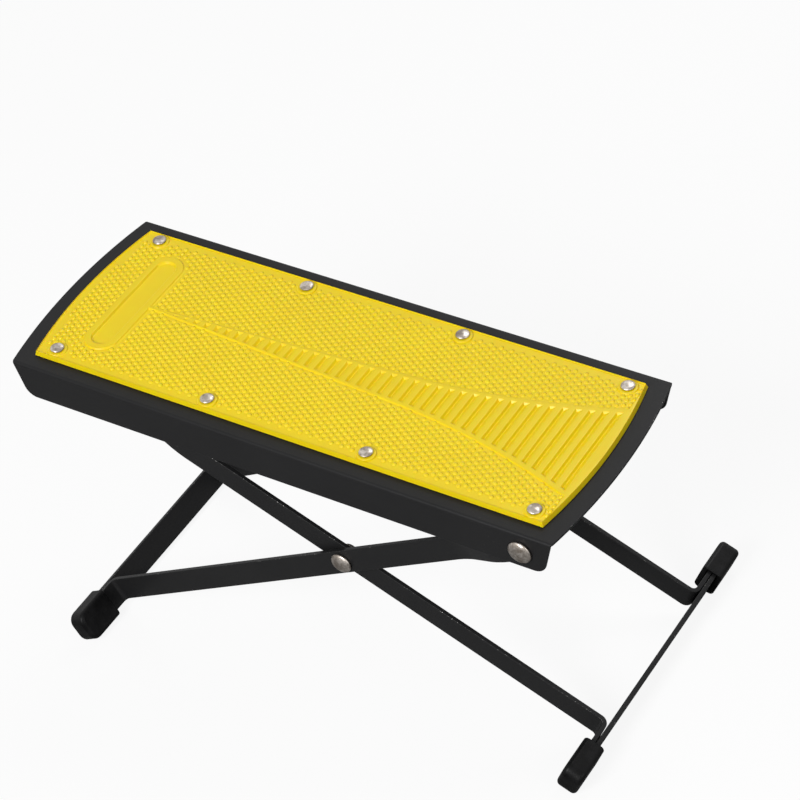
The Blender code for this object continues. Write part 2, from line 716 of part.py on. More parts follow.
def make_side_rivets(kind, parent, place, outer_face, inner_face, head_size, nickel):
    """A rivet and a washer on each side: its head outside outer_face, its tail inside inner_face."""
    head_radius, head_height = head_size
    grip = outer_face - inner_face + GAP + WASHER_THICKNESS
    profile = rivet_profile(
        head_radius, head_height, RIVET_SHANK_RADIUS, RIVET_TAIL_RADIUS, RIVET_TAIL_HEIGHT, grip
    )
    for name, side in SIDES:
        outwards = Matrix.Rotation(-side * math.pi / 2, 4, "X")
        rivet = turned(profile, ROUND_SIDES)
        rivet.transform(outwards)
        spot = Vector(place)
        spot.y = side * outer_face
        object_from(f"{kind}_rivet_{name}", rivet, parent, spot, nickel)
        make_washer(f"{kind}_washer_{name}", parent, place, side, inner_face - GAP, nickel)


def make_washer(name, parent, place, side, outer_face, material):
    washer = washer_mesh(WASHER_RADIUS, RIVET_SHANK_RADIUS + hole_clearance, WASHER_THICKNESS)
    washer.transform(Matrix.Rotation(-side * math.pi / 2, 4, "X"))
    spot = Vector(place)
    spot.y = side * outer_face
    object_from(name, washer, parent, spot, material)


def make_height_rod(parent, steel):
    """The rod between the inner arms, with a riveted head outside each."""
    shoulder = inner_end_gauge - STRIP_THICKNESS / 2 - GAP
    head_base = inner_end_gauge + STRIP_THICKNESS / 2 + GAP
    half = dome(ROD_HEAD_RADIUS, head_base, ROD_HEAD_HEIGHT)
    half += [(ROD_TENON_RADIUS, head_base), (ROD_TENON_RADIUS, shoulder), (ROD_RADIUS, shoulder)]
    profile = half + [(radius, -height) for radius, height in reversed(half)]
    rod = turned(profile, ROUND_SIDES, along_y=True)
    object_from("height_rod", rod, parent, (-SCISSOR_TO_ROD, 0, 0), steel)


def build():
    clear_scene()
    steel = painted("black powder-coated steel", (0.018, 0.018, 0.019), 0.5, 0)
    yellow = painted("yellow moulded rubber", (0.86, 0.62, 0.012), 0.45, 0)
    black_rubber = painted("matte black rubber", (0.016, 0.016, 0.017), 0.7, 0)
    nickel = painted("nickel-plated steel", (0.66, 0.63, 0.60), 0.28, 1)

    scissor = world_place(scissor_point)
    platform = axis_empty("platform_axis", world_place(pivot_point), platform_slope)
    outer = axis_empty("outer_frame_axis", scissor, platform_slope - outer_slope)
    inner = axis_empty("inner_frame_axis", scissor, inner_slope + platform_slope)

    on_platform = (-pivot_point.x, 0, -pivot_point.y)
    make_top_plate(platform, on_platform, steel)
    make_rubber_pad(platform, on_platform, yellow)
    make_pad_rivets(platform, on_platform, nickel)
    make_rails(platform, on_platform, steel)

    outer_tab = -SCISSOR_TO_OUTER_FOOT + foot_pair_offset
    outer_path = bar_path(
        PIVOT_TO_SCISSOR, outer_run_gauge, outer_end_gauge, OUTER_JOGGLE_START, outer_tab
    )
    outer_holes = ((PIVOT_TO_SCISSOR, RIVET_SHANK_RADIUS), (0, RIVET_SHANK_RADIUS))
    make_arms("outer", outer, outer_path, outer_holes, steel)
    make_foot_bar("outer", outer, -SCISSOR_TO_OUTER_FOOT - foot_pair_offset, steel)
    make_feet("outer", outer, -SCISSOR_TO_OUTER_FOOT, black_rubber)

    inner_tab = SCISSOR_TO_INNER_FOOT - foot_pair_offset
    inner_path = bar_path(
        -SCISSOR_TO_ROD, inner_run_gauge, inner_end_gauge, INNER_JOGGLE_START, inner_tab
    )
    inner_holes = ((-SCISSOR_TO_ROD, ROD_TENON_RADIUS), (0, RIVET_SHANK_RADIUS))
    make_arms("inner", inner, inner_path, inner_holes, steel)
    make_foot_bar("inner", inner, SCISSOR_TO_INNER_FOOT + foot_pair_offset, steel)
    make_feet("inner", inner, SCISSOR_TO_INNER_FOOT, black_rubber)
    make_height_rod(inner, steel)

    make_side_rivets(
        "pivot",
        platform,
        (0, 0, 0),
        PLATE_WIDTH / 2,
        outer_end_gauge - STRIP_THICKNESS / 2,
        (PIVOT_RIVET_HEAD_RADIUS, PIVOT_RIVET_HEAD_HEIGHT),
        nickel,
    )
    make_side_rivets(
        "scissor",
        outer,
        (0, 0, 0),
        outer_run_gauge + STRIP_THICKNESS / 2,
        inner_run_gauge - STRIP_THICKNESS / 2,
        (SCISSOR_RIVET_HEAD_RADIUS, SCISSOR_RIVET_HEAD_HEIGHT),
        nickel,
    )
    between = outer_run_gauge - STRIP_THICKNESS / 2 - GAP
    for name, side in SIDES:
        make_washer(f"scissor_spacer_{name}", outer, (0, 0, 0), side, between, nickel)


build()
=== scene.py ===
"""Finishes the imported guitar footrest: a rubber-topped channel on a folding stand of flat bar.

Metres, in the CAD's frame. Four local frames are taken from it: the platform's, with its origin in
the middle of the plate's top face, the one between its pivot rivets, and one for each pair of
arms, with its origin between the scissor rivets and X along the bars.
"""

import json
import math

import bmesh
import bpy
from mathutils import Matrix, Vector


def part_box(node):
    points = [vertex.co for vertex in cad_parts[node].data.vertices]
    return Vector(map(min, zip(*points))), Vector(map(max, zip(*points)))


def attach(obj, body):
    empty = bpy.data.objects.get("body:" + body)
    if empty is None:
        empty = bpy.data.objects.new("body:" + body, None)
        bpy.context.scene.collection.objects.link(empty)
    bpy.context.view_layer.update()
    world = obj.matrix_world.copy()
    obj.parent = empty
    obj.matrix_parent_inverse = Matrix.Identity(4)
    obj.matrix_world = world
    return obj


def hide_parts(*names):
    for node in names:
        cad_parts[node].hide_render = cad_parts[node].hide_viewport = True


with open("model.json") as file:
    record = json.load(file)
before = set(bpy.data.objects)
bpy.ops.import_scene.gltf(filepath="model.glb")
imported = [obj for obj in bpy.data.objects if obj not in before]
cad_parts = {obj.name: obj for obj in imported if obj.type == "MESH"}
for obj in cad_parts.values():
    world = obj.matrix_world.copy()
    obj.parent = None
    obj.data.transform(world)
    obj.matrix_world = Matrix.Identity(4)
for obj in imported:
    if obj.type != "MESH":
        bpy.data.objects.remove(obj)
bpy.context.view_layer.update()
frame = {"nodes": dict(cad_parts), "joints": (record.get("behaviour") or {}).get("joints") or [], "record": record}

# Clearance between pieces, and how far a cutter passes the faces that it cuts
GAP = 0.0003
OVERRUN = 0.004

# When points count as one: in a mesh just made, at a place that is looked for, and as a share of
# the radius that edges get
MERGE_DISTANCE = GAP / 100
SAME_PLACE = GAP / 10
MERGE_SHARE = 0.1

# Platform
PLATE_LENGTH = 0.281
PLATE_WIDTH = 0.1045
PLATE_END_BULGE = 0.0052
PLATE_SHEET = 0.0012
FLANGE_DEPTH = 0.0183
FLANGE_BEND_RADIUS = 0.0014
FLANGE_END_TAPER = 0.0048
FLANGE_CORNER_RADIUS = 0.0045
PIVOT_END_INSET = 0.0199
PIVOT_DEPTH = 0.0092

# Rubber pad
PAD_END_BORDER = 0.00885
PAD_SIDE_BORDER = 0.008
PAD_END_BULGE = 0.0046
PAD_THICKNESS = 0.0025
PAD_DRAFT = 0.0007
PAD_RELIEF = 0.0008
PAD_RIM_WIDTH = 0.0024
PAD_FIELD_INSET = 0.00365
PAD_EDGE_RADIUS = 0.0002
BADGE_INSET = 0.02645
BADGE_LENGTH = 0.065
BADGE_WIDTH = 0.0166
BADGE_BORDER = 0.003
BADGE_DEPTH = 0.0012
HORN_TIP_INSET = 0.03475
HORN_TIP_HALF_WIDTH = 0.0004
HORN_STRAIGHT_HALF_WIDTH = 0.014
HORN_FLARE_HALF_WIDTH = 0.0126
HORN_FLARE_START_SHARE = 0.6
FLUTE_FIRST_INSET = 0.00615
FLUTE_PITCH = 0.00547
FLUTE_WIDTH = 0.0026
FLUTE_DEPTH = 0.0013
FLUTE_END_MARGIN = 0.0013
FLUTE_MARGIN_SHARE = 0.15
FLUTE_SHORTEST = 0.0003
FLUTE_SHALLOW_SHARE = 0.3
FLUTE_WALL_LEAN = 0.55
RAISED_WALL_LEAN = 0.5
PAD_BOSS_RADIUS = 0.0042
DOT_ROW_PITCH = 0.00295
DOT_COLUMN_PITCH = 0.00257
DOT_FIRST_COLUMN_INSET = 0.00415
DOT_RADIUS = 0.00112
DOT_HEIGHT = 0.00075
DOT_CLEARANCE_SHARE = 0.8

# Domed heads: the height of their rolled edge, and how far it tucks in
DOME_EDGE_SHARE = 1 / 4
DOME_UNDERCUT_SHARE = 1 / 3

# Pad rivets
PAD_RIVETS_PER_ROW = 4
PAD_RIVET_FREE_END_INSET = 0.01285
PAD_RIVET_PIVOT_END_INSET = 0.01045
PAD_RIVET_SIDE_INSET = 0.0047
PAD_RIVET_HEAD_RADIUS = 0.0031
PAD_RIVET_HEAD_HEIGHT = 0.0012
PAD_RIVET_SHANK_RADIUS = 0.0014
PAD_RIVET_TAIL_RADIUS = 0.0024
PAD_RIVET_TAIL_HEIGHT = 0.0005

# Flat bar of the stand
STRIP_WIDTH = 0.012
STRIP_THICKNESS = 0.002
STRIP_BEND_RADIUS = 0.003
STEEL_EDGE_RADIUS = 0.0003
JOGGLE_LENGTH = 0.034
JOGGLE_FOLD_SHARE = 1 / 6
PIVOT_TO_SCISSOR = 0.1136
SCISSOR_TO_ROD = 0.1314
SCISSOR_TO_OUTER_FOOT = 0.1596
SCISSOR_TO_INNER_FOOT = 0.1329
OUTER_ARM_HALF_GAUGE = 0.045
SCISSOR_SPACE = 0.0012
ROD_END_JOGGLE = 0.004
OUTER_JOGGLE_START = 0.012
INNER_JOGGLE_START = 0.014

# Height rod, side rivets and washers
ROD_RADIUS = 0.003
ROD_TENON_RADIUS = 0.002
ROD_HEAD_RADIUS = 0.0033
ROD_HEAD_HEIGHT = 0.0013
PIVOT_RIVET_HEAD_RADIUS = 0.0054
PIVOT_RIVET_HEAD_HEIGHT = 0.0024
SCISSOR_RIVET_HEAD_RADIUS = 0.005
SCISSOR_RIVET_HEAD_HEIGHT = 0.0022
RIVET_SHANK_RADIUS = 0.0025
RIVET_TAIL_RADIUS = 0.0038
RIVET_TAIL_HEIGHT = 0.0014
WASHER_RADIUS = 0.005
WASHER_THICKNESS = 0.0006
WASHER_EDGE_RADIUS = 0.00012

# Rubber feet
FOOT_LENGTH = 0.020
FOOT_HEIGHT = 0.0154
FOOT_THICKNESS = 0.0098
TAB_EXPOSED = 0.007
FOOT_END_WALL = 0.0025
FOOT_EDGE_RADIUS = 0.0021
FOOT_END_RADIUS = 0.0048
FOOT_MOUTH_EDGE_RADIUS = 0.0005

# Powder coat. In this finish and the next ones, a noise is the size of its features in metres, its
# detail and its roughness, and a step is where a mask made of noise starts and where it is full.
COAT_SPECULAR = 0.12
COAT_DARK = (0.0125, 0.0125, 0.013)
COAT_LIGHT = (0.019, 0.019, 0.0196)
COAT_DUST = (0.07, 0.068, 0.064)
COAT_BARE = (0.2, 0.195, 0.19)
COAT_GRAIN_NOISE = (0.0005, 3)
COAT_GRAIN_DEPTH = 0.00003
COAT_PATCH_NOISE = (0.03, 3)
COAT_SPECK_NOISE = (0.0008, 3, 0.6)
COAT_SPECK_STEP = (0.56, 0.66)
COAT_STRETCH_NOISE = (0.012, 2)
COAT_STRETCH_STEP = (0.48, 0.6)
COAT_DUST_NOISE = (0.0007, 1)
COAT_DUST_STEP = (0.7, 0.78)
COAT_DUSTY_PATCH_STEP = (0.45, 0.7)
COAT_DUST_SHARE = 0.5
COAT_BARE_METALLIC = 0.9
COAT_ROUGHNESS = 0.3
COAT_PATCH_ROUGHNESS = 0.12
COAT_BARE_POLISH = 0.1

# Yellow rubber
YELLOW_SPECULAR = 0.4
YELLOW_SUBSURFACE = 0.2
YELLOW_SUBSURFACE_SCALE = 0.001
YELLOW_DARK = (0.84, 0.62, 0.001)
YELLOW_LIGHT = (0.9, 0.68, 0.002)
YELLOW_SCUFF = (0.72, 0.56, 0.05)
YELLOW_GRAIN_NOISE = (0.0004, 2)
YELLOW_GRAIN_DEPTH = 0.00002
YELLOW_CLOUD_NOISE = (0.02, 4, 0.6)
YELLOW_CLOUD_DEPTH = 0.0001
YELLOW_SCUFF_NOISE = (0.004, 5, 0.7)
YELLOW_SCUFF_STEP = (0.62, 0.75)
YELLOW_SCUFF_SHARE = 0.25
YELLOW_ROUGHNESS = 0.26
YELLOW_CLOUD_ROUGHNESS = 0.12
YELLOW_SCUFF_ROUGHNESS = 0.1

# Black rubber
BLACK_SPECULAR = 0.11
BLACK_DARK = (0.003, 0.003, 0.0032)
BLACK_RUBBED = (0.008, 0.008, 0.0084)
BLACK_GRAIN_NOISE = (0.0006, 3)
BLACK_GRAIN_DEPTH = 0.00004
BLACK_RUBBING_NOISE = (0.006, 4, 0.6)
BLACK_RUBBING_STEP = (0.4, 0.75)
BLACK_RUBBING_DEPTH = 0.0002
BLACK_ROUGHNESS = 0.3
BLACK_RUBBING_ROUGHNESS = 0.2

# Nickel plate
NICKEL_DARK = (0.33, 0.29, 0.25)
NICKEL_LIGHT = (0.6, 0.55, 0.5)
# The grime colour, with its noise, step, share and roughness below, makes dark patches that are partly grime and
# partly a painted reflection of dark surroundings
NICKEL_GRIME_AND_PAINTED_REFLECTION = (0.13, 0.105, 0.085)
NICKEL_CLOUD_NOISE = (0.0022, 4, 0.6)
NICKEL_CLOUD_STEP = (0.35, 0.65)
NICKEL_CLOUD_DEPTH = 0.00008
NICKEL_PIT_NOISE = (0.0006, 3)
NICKEL_PIT_STEP = (0.62, 0.72)
NICKEL_PIT_SHARE = 0.2
NICKEL_PIT_DEPTH = 0.00002
NICKEL_GRIME_AND_PAINTED_REFLECTION_NOISE = (0.0045, 2)
NICKEL_GRIME_AND_PAINTED_REFLECTION_STEP = (0.48, 0.6)
NICKEL_GRIME_AND_PAINTED_REFLECTION_SHARE = 0.6
NICKEL_ROUGHNESS = 0.26
NICKEL_CLOUD_ROUGHNESS = 0.14
NICKEL_GRIME_AND_PAINTED_REFLECTION_ROUGHNESS = 0.2

# Studio
WORLD_COLOUR = (1, 1, 1)
WORLD_STRENGTH = 0.17
FLOOR_HALF_SIDE = 4
FLOOR_COLOUR = (0.35, 0.35, 0.35)
FLOOR_SEEN_COLOUR = (0.9, 0.9, 0.9)
FLOOR_ROUGHNESS = 0.9
FLOOR_GLOW_SHARE = 0.9
LAMP_TARGET = Vector((0, 0, 0.1))
KEY_SPOT = (0.05, -1.45, 1.2)
KEY_SIZE = 0.8
KEY_POWER = 25.3
FILL_SPOT = (1.5, -0.3, 0.9)
FILL_SIZE = 0.9
FILL_POWER = 4.5
BACK_SPOT = (0.1, 1.2, 1.5)
BACK_SIZE = 0.9
BACK_POWER = 9.5
CAMERA_SPOT = Vector((0.67393, -0.72450, 0.90722))
CAMERA_DIRECTION = Vector((-0.52111, 0.58060, -0.62550))
CAMERA_UP = Vector((-0.20343, 0.62700, 0.75188))
CAMERA_LENS = 131.97
CAMERA_SENSOR = 36
CAMERA_SHIFT = (0.0168, 0.0084)

# Fineness of the meshes
END_ARC_STEPS = 36
BEND_STEPS = 6
EDGE_STEPS = 3
PAD_EDGE_STEPS = 2
SMALL_ROUND_SIDES = 32
ROUND_SIDES = 56
DOME_STEPS = 8
DOT_SIDES = 8
DOT_RINGS = 6
HORN_STEPS = 24

# Angles between faces: an edge above SHARP_ANGLE is shaded sharp, above EDGE_ANGLE it is rounded,
# and below FLAT_ANGLE it is dissolved. STRAIGHT_ANGLE does that for the fluted panel's outline.
SHARP_ANGLE = math.radians(50)
EDGE_ANGLE = math.radians(35)
FLAT_ANGLE = math.radians(1)
STRAIGHT_ANGLE = 0.0003

SIDES = (("near", -1), ("far", 1))

bar_half_width = STRIP_WIDTH / 2
pad_length = PLATE_LENGTH - 2 * PAD_END_BORDER
pad_width = PLATE_WIDTH - 2 * PAD_SIDE_BORDER
pad_top = GAP + PAD_THICKNESS
pad_field = pad_top - PAD_RELIEF
pad_field_end = pad_length / 2 - PAD_FIELD_INSET
badge_place = BADGE_INSET - pad_length / 2
horn_tip_place = HORN_TIP_INSET - pad_length / 2
flute_first_place = pad_length / 2 - FLUTE_FIRST_INSET
pivot_place = PLATE_LENGTH / 2 - PIVOT_END_INSET
outer_end_gauge = PLATE_WIDTH / 2 - PLATE_SHEET - GAP - STRIP_THICKNESS / 2
outer_run_gauge = OUTER_ARM_HALF_GAUGE - STRIP_THICKNESS / 2
inner_run_gauge = outer_run_gauge - STRIP_THICKNESS - SCISSOR_SPACE
inner_end_gauge = inner_run_gauge - ROD_END_JOGGLE
foot_mouth = outer_run_gauge + STRIP_BEND_RADIUS + TAB_EXPOSED
tab_reach = foot_mouth + FOOT_LENGTH - FOOT_END_WALL - GAP
foot_pair_offset = (STRIP_THICKNESS + GAP) / 2

# The local frames
joint_places = {joint["name"]: Vector(joint["pos_m"]) for joint in frame["joints"]}
pivot_spot = joint_places["platform_fold"]
scissor_spot = joint_places["frame_fold"]
rod_spot = sum(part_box("height_rod"), Vector()) / 2
rest_normal = Vector(frame["record"]["mounts"][0]["axis"])
platform_slope = math.atan2(rest_normal.x, rest_normal.z)
outer_rise = pivot_spot - scissor_spot
inner_rise = rod_spot - scissor_spot
pivot_space = Matrix.Translation(pivot_spot) @ Matrix.Rotation(platform_slope, 4, "Y")
platform_space = pivot_space @ Matrix.Translation((-pivot_place, 0, PIVOT_DEPTH))
outer_space = Matrix.Translation(scissor_spot) @ Matrix.Rotation(
    -math.atan2(outer_rise.z, outer_rise.x), 4, "Y"
)
inner_space = Matrix.Translation(scissor_spot) @ Matrix.Rotation(
    math.atan2(inner_rise.z, -inner_rise.x), 4, "Y"
)


# Finishes


def feed(tree, port, value):
    """Puts a signal, number or colour into a socket."""
    if isinstance(value, Signal):
        tree.links.new(value.socket, port)
    elif port.type == "RGBA":
        port.default_value = (*value, 1)
    else:
        port.default_value = value


def add_node(tree, kind, settings=None, inputs=None, output=0):
    """Any node, with its settings and its sockets' values, as the signal of one output."""
    node = tree.nodes.new(kind)
    for setting, value in (settings or {}).items():
        setattr(node, setting, value)
    for socket, value in (inputs or {}).items():
        feed(tree, node.inputs[socket], value)
    return Signal(tree, node.outputs[output])


class Signal:
    """An output socket. Operators on it add Math nodes."""

    def __init__(self, tree, socket):
        self.tree = tree
        self.socket = socket

    def calculate(self, operation, *values, clamp=False):
        settings = {"operation": operation, "use_clamp": clamp}
        return add_node(self.tree, "ShaderNodeMath", settings, dict(enumerate(values)))

    def __add__(self, other):
        return self.calculate("ADD", self, other)

    def __sub__(self, other):
        return self.calculate("SUBTRACT", self, other)

    def __rsub__(self, other):
        return self.calculate("SUBTRACT", other, self)

    def __mul__(self, other):
        return self.calculate("MULTIPLY", self, other)

    __radd__ = __add__
    __rmul__ = __mul__

    def between(self, low, high):
        """0 below low, 1 above high and a smooth step between them."""
        return add_node(
            self.tree,
            "ShaderNodeMapRange",
            {"interpolation_type": "SMOOTHSTEP"},
            {"Value": self, "From Min": low, "From Max": high},
            "Result",
        )


class Finish:
    """A procedural material built round one Principled shader."""

    def __init__(self, name, constants):
        self.material = bpy.data.materials.new(name)
        self.material.use_nodes = True
        self.tree = self.material.node_tree
        self.shader = self.tree.nodes["Principled BSDF"]
        self.paint(constants)
        self.place = add_node(self.tree, "ShaderNodeTexCoord", output="Object")

    def noise(self, size, detail, roughness=0.5):
        """Noise whose features are about size metres across."""
        inputs = {"Scale": 1 / size, "Detail": detail, "Roughness": roughness, "Vector": self.place}
        return add_node(self.tree, "ShaderNodeTexNoise", inputs=inputs)

    def mixed(self, low, high, share):
        """A colour between two colours. Mix's sockets share their names, so they go by number."""
        inputs = {0: share, 6: low, 7: high}
        return add_node(self.tree, "ShaderNodeMix", {"data_type": "RGBA"}, inputs, 2)

    def worn(self):
        """1 on the faces of rounded edges."""
        return add_node(
            self.tree, "ShaderNodeAttribute", {"attribute_name": "edge"}, output="Fac"
        )

    def relief(self, *layers):
        """Bumps on the surface, each a height signal and its depth in metres."""
        normal = None
        for height, depth in layers:
            inputs = {"Height": height, "Distance": depth}
            if normal:
                inputs["Normal"] = normal
            normal = add_node(self.tree, "ShaderNodeBump", inputs=inputs)
        self.paint({"Normal": normal})

    def paint(self, values):
        """Gives the shader's sockets their signals or constants."""
        for socket, value in values.items():
            feed(self.tree, self.shader.inputs[socket], value)


def powder_coat():
    """Satin black powder coat with a fine texture, rubbed through in specks along its edges."""
    coat = Finish("powder coat", {"Specular IOR Level": COAT_SPECULAR})
    grain = coat.noise(*COAT_GRAIN_NOISE)
    patches = coat.noise(*COAT_PATCH_NOISE)
    specks = coat.noise(*COAT_SPECK_NOISE).between(*COAT_SPECK_STEP)
    stretches = coat.noise(*COAT_STRETCH_NOISE).between(*COAT_STRETCH_STEP)
    bare = coat.worn() * specks * stretches
    motes = coat.noise(*COAT_DUST_NOISE).between(*COAT_DUST_STEP)
    dust = motes * patches.between(*COAT_DUSTY_PATCH_STEP)
    black = coat.mixed(COAT_DARK, COAT_LIGHT, patches)
    dusty = coat.mixed(black, COAT_DUST, dust * COAT_DUST_SHARE)
    coat.paint(
        {
            "Base Color": coat.mixed(dusty, COAT_BARE, bare),
            "Metallic": bare * COAT_BARE_METALLIC,
            "Roughness": COAT_ROUGHNESS + patches * COAT_PATCH_ROUGHNESS - bare * COAT_BARE_POLISH,
        }
    )
    coat.relief((grain, COAT_GRAIN_DEPTH))
    return coat.material


def yellow_rubber():
    """Moulded yellow rubber, with a faint grain, handling marks and a little dust."""
    rubber = Finish(
        "yellow rubber",
        {
            "Subsurface Weight": YELLOW_SUBSURFACE,
            "Subsurface Scale": YELLOW_SUBSURFACE_SCALE,
            "Specular IOR Level": YELLOW_SPECULAR,
        },
    )
    grain = rubber.noise(*YELLOW_GRAIN_NOISE)
    clouds = rubber.noise(*YELLOW_CLOUD_NOISE)
    scuffs = rubber.noise(*YELLOW_SCUFF_NOISE).between(*YELLOW_SCUFF_STEP)
    plain = rubber.mixed(YELLOW_DARK, YELLOW_LIGHT, clouds)
    clouded = YELLOW_ROUGHNESS + clouds * YELLOW_CLOUD_ROUGHNESS
    rubber.paint(
        {
            "Base Color": rubber.mixed(plain, YELLOW_SCUFF, scuffs * YELLOW_SCUFF_SHARE),
            "Roughness": clouded + scuffs * YELLOW_SCUFF_ROUGHNESS,
        }
    )
    rubber.relief((grain, YELLOW_GRAIN_DEPTH), (clouds, YELLOW_CLOUD_DEPTH))
    return rubber.material


def black_rubber():
    """Matte moulded rubber, greyer where it is rubbed and dusty."""
    rubber = Finish("black rubber", {"Specular IOR Level": BLACK_SPECULAR})
    grain = rubber.noise(*BLACK_GRAIN_NOISE)
    rubbing = rubber.noise(*BLACK_RUBBING_NOISE)
    rubbed = rubbing.between(*BLACK_RUBBING_STEP)
    rubber.paint(
        {
            "Base Color": rubber.mixed(BLACK_DARK, BLACK_RUBBED, rubbed),
            "Roughness": BLACK_ROUGHNESS + rubbing * BLACK_RUBBING_ROUGHNESS,
        }
    )
    rubber.relief((grain, BLACK_GRAIN_DEPTH), (rubbing, BLACK_RUBBING_DEPTH))
    return rubber.material


def dull_nickel():
    """Nickel plate, dulled and smudged, with dark patches that are partly grime and partly a painted reflection of
    dark surroundings.
    """
    metal = Finish("dull nickel", {"Metallic": 1.0})
    clouds = metal.noise(*NICKEL_CLOUD_NOISE)
    pits = metal.noise(*NICKEL_PIT_NOISE).between(*NICKEL_PIT_STEP)
    # Dark patches: partly grime, partly a painted reflection of dark surroundings
    grime_and_painted_reflection = metal.noise(*NICKEL_GRIME_AND_PAINTED_REFLECTION_NOISE).between(*NICKEL_GRIME_AND_PAINTED_REFLECTION_STEP)
    plain = metal.mixed(NICKEL_DARK, NICKEL_LIGHT, clouds.between(*NICKEL_CLOUD_STEP))
    grime_pits_and_painted_reflection = grime_and_painted_reflection * NICKEL_GRIME_AND_PAINTED_REFLECTION_SHARE + pits * NICKEL_PIT_SHARE
    clouded = NICKEL_ROUGHNESS + clouds * NICKEL_CLOUD_ROUGHNESS
    metal.paint(
        {
            "Base Color": metal.mixed(plain, NICKEL_GRIME_AND_PAINTED_REFLECTION, grime_pits_and_painted_reflection),
            "Roughness": clouded + grime_and_painted_reflection * NICKEL_GRIME_AND_PAINTED_REFLECTION_ROUGHNESS,
        }
    )
    metal.relief((clouds, NICKEL_CLOUD_DEPTH), (pits, NICKEL_PIT_DEPTH))
    return metal.material


def studio_paper():
    """Pale paper that the camera sees almost white, apart from shadows."""
    paper = Finish("studio paper", {"Roughness": FLOOR_ROUGHNESS})
    tree = paper.tree
    seen = add_node(tree, "ShaderNodeLightPath", output="Is Camera Ray")
    paper.paint({"Base Color": paper.mixed(FLOOR_COLOUR, FLOOR_SEEN_COLOUR, seen)})
    surface = Signal(tree, paper.shader.outputs[0])
    glow = add_node(tree, "ShaderNodeEmission", inputs={"Strength": 1.0})
    inputs = {0: seen * FLOOR_GLOW_SHARE, 1: surface, 2: glow}
    shown = add_node(tree, "ShaderNodeMixShader", inputs=inputs)
    feed(tree, tree.nodes["Material Output"].inputs["Surface"], shown)
    return paper.material


FINISHES = {
    "powder_coated_steel": powder_coat(),
    "yellow_rubber": yellow_rubber(),
    "black_rubber": black_rubber(),
    "nickel_plated_steel": dull_nickel(),
}


# Mesh helpers


def holder(bm):
    """A working object round a mesh."""
    mesh = bpy.data.meshes.new("working")
    bm.to_mesh(mesh)
    bm.free()
    made = bpy.data.objects.new("working", mesh)
    bpy.context.scene.collection.objects.link(made)
    return made


def with_modifier(bm, kind, tool=None, **settings):
    """The mesh that a modifier makes of this one, which it uses up, as it does the tool's."""
    target = holder(bm)
    modifier = target.modifiers.new("shaping", kind)
    for setting, value in settings.items():
        setattr(modifier, setting, value)
    used = [target]
    if tool:
        used.append(holder(tool))
        modifier.object = used[-1]
    result = bmesh.new()
    result.from_object(target, bpy.context.evaluated_depsgraph_get())
    for item in used:
        mesh = item.data
        bpy.data.objects.remove(item)
        bpy.data.meshes.remove(mesh)
    return result


def in_order(bm):
    """The mesh with its points, edges and faces in an order that is the same each run."""
    places = {v: place for place, v in enumerate(sorted(bm.verts, key=lambda v: v.co[:]))}
    bm.verts.sort(key=places.get)
    for parts in (bm.edges, bm.faces):
        ranked = sorted(parts, key=lambda part: sorted(places[v] for v in part.verts))
        ranks = {part: rank for rank, part in enumerate(ranked)}
        parts.sort(key=ranks.get)
    for parts in (bm.verts, bm.edges, bm.faces):
        parts.index_update()
    return bm


def cut(bm, tool):
    """The mesh without the tool's volume."""
    return in_order(with_modifier(bm, "BOOLEAN", tool, operation="DIFFERENCE", solver="EXACT"))


def bevel(bm, geom, radius, steps, affect="EDGES"):
    """Rounds edges or corners off, and gives the new faces."""
    return bmesh.ops.bevel(
        bm, geom=geom, offset=radius, segments=steps, profile=0.5, affect=affect, material=-1
    )["faces"]


def new_verts(made):
    """The vertices among what an operator made."""
    return [item for item in made["geom"] if isinstance(item, bmesh.types.BMVert)]


def lies_at(item, axis, place):
    """Whether all corners of an edge or a face lie at a place on an axis."""
    return all(math.isclose(getattr(v.co, axis), place, abs_tol=SAME_PLACE) for v in item.verts)


def round_edges(bm, radius, steps=EDGE_STEPS):
    """Rounds every edge sharper than EDGE_ANGLE, and marks the new faces as edge."""
    bmesh.ops.remove_doubles(bm, verts=bm.verts, dist=radius * MERGE_SHARE)
    bmesh.ops.recalc_face_normals(bm, faces=bm.faces)
    edge_layer = bm.faces.layers.float.new("edge")
    sharp = [e for e in bm.edges if e.is_manifold and e.calc_face_angle() > EDGE_ANGLE]
    for face in bevel(bm, sharp, radius, steps):
        face[edge_layer] = 1
    bmesh.ops.dissolve_degenerate(bm, edges=bm.edges[:], dist=MERGE_DISTANCE)
    loose = [e for e in bm.edges if not e.link_faces]
    bmesh.ops.delete(bm, geom=loose, context="EDGES")
    return bm


def finish_piece(name, bm, body, slot, replaced=(), space=None):
    """The finished piece: its mesh in its place, shaded, with its finish and its body."""
    if space:
        bm.transform(space)
    bmesh.ops.recalc_face_normals(bm, faces=bm.faces)
    mesh = bpy.data.meshes.new(name)
    bm.to_mesh(mesh)
    bm.free()
    mesh.shade_smooth()
    mesh.set_sharp_from_angle(angle=SHARP_ANGLE)
    mesh.materials.append(FINISHES[slot])
    piece = bpy.data.objects.new(name, mesh)
    bpy.context.scene.collection.objects.link(piece)
    shading = piece.modifiers.new("even shading", "WEIGHTED_NORMAL")
    shading.keep_sharp = True
    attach(piece, body)
    if replaced:
        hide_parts(*replaced)


def raise_faces(bm, faces, height):
    """Extrudes faces straight up, keeping them as the solid's underside."""
    verts = new_verts(bmesh.ops.extrude_face_region(bm, geom=faces, use_keep_orig=True))
    bmesh.ops.translate(bm, verts=verts, vec=(0, 0, height))
    return verts


def block(size, middle=(0, 0, 0)):
    """A rectangular block."""
    bm = bmesh.new()
    stretch = Matrix.Diagonal((*size, 1))
    bmesh.ops.create_cube(bm, size=1, matrix=Matrix.Translation(middle) @ stretch)
    return bm


def arc_radius(width, bulge):
    """The radius of an arc over a width that bulges out in its middle."""
    return ((width / 2) ** 2 + bulge**2) / (2 * bulge)


